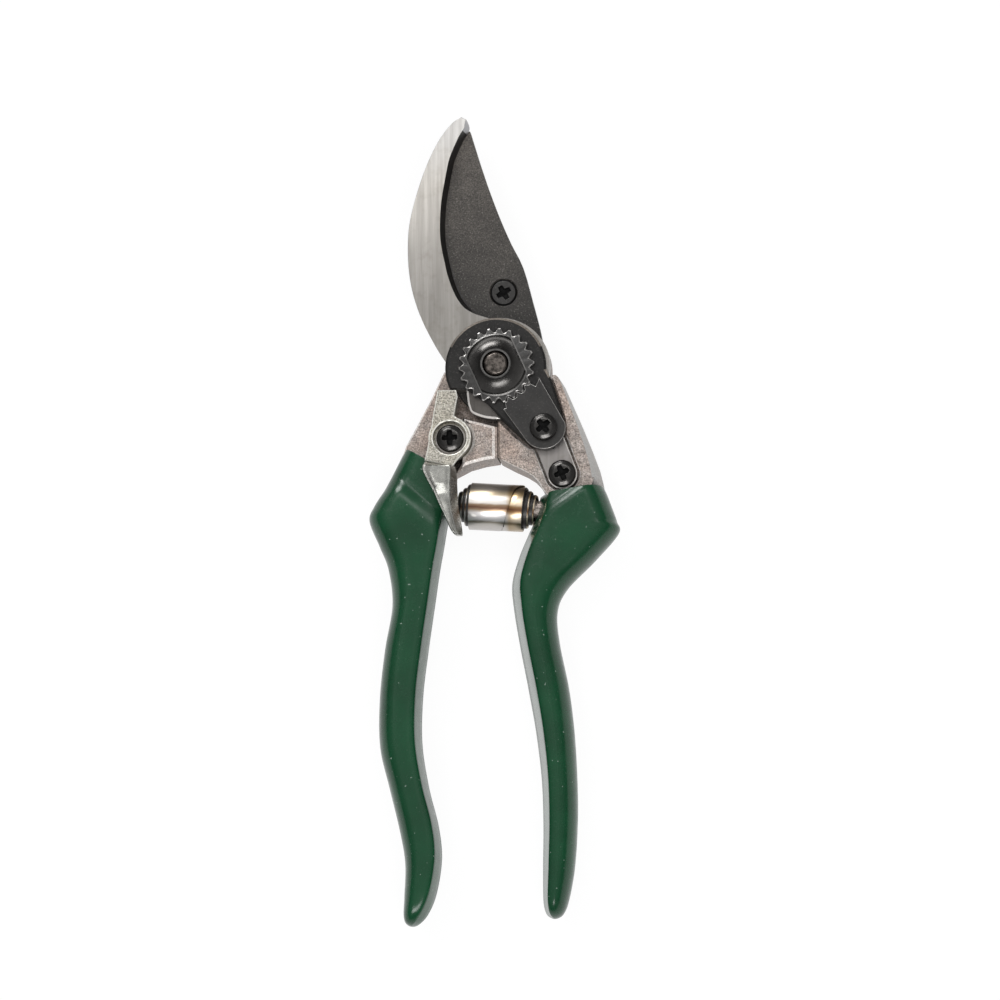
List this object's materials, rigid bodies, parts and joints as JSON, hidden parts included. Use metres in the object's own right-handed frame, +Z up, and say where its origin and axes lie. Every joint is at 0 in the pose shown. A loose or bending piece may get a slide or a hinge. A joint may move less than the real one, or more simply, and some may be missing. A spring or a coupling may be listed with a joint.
{
  "type": "pruning shears",
  "caption": "Bypass pruning shears with a hooked counter blade, toothed pivot nut, thumb lock, volute spring and dipped grips, lying flat and locked.",
  "frame": {"origin": "on the pivot axis, at the underside of the pivot bolt's head, where the shears rest", "axes": "+Y from the pivot towards the blade tips, +Z up out of the toothed nut, +X to the hook handle's side"},
  "size_m": [0.0641, 0.2083, 0.0186],
  "materials": {
    "casting": "bare die cast, fine sandy texture, semi matt",
    "grip": "dark green dipped vinyl, glossy",
    "ground_steel": "satin ground crescent, black boss and tail",
    "black_oxide": "blackened steel, satin",
    "bolt_steel": "worn bare steel",
    "black_coat": "black non-stick coat, fine speckle",
    "bronze": "sintered bronze, plain",
    "lever_casting": "bare die cast, sandy plate and smoother thumb tab",
    "plated_steel": "nickel plated strip with a warm tint"
  },
  "bodies": {
    "hook_side": {"hook_handle": "casting", "hook_handle_grip": "grip", "hook_blade": "ground_steel", "tail_screw": "black_oxide", "nut_lock_segment": "black_oxide", "segment_screw": "black_oxide", "toothed_nut": "black_oxide", "pivot_bolt": "bolt_steel", "pivot_washer": "bolt_steel", "volute_spring": "plated_steel"},
    "blade_side": {"blade_handle": "casting", "blade_handle_grip": "grip", "cutting_blade": "black_coat", "blade_screw": "black_oxide", "pivot_bush": "bronze", "lever_screw": "black_oxide", "lever_spring_washer": "bolt_steel", "lever_washer": "bolt_steel"},
    "thumb_lock": {"lock_lever": "lever_casting"}
  },
  "joints": [
    {"name": "handle_pivot", "type": "hinge", "parent": "hook_side", "child": "blade_side", "pos_m": [0, 0, 0], "axis": [0, 0, 1], "range_deg": [-27, 0], "deforming": ["volute_spring"]},
    {"name": "lock_lever_pivot", "type": "hinge", "parent": "blade_side", "child": "thumb_lock", "pos_m": [-0.012, -0.0184, 0], "axis": [0, 0, 1], "range_deg": [0, 12]}
  ]
}
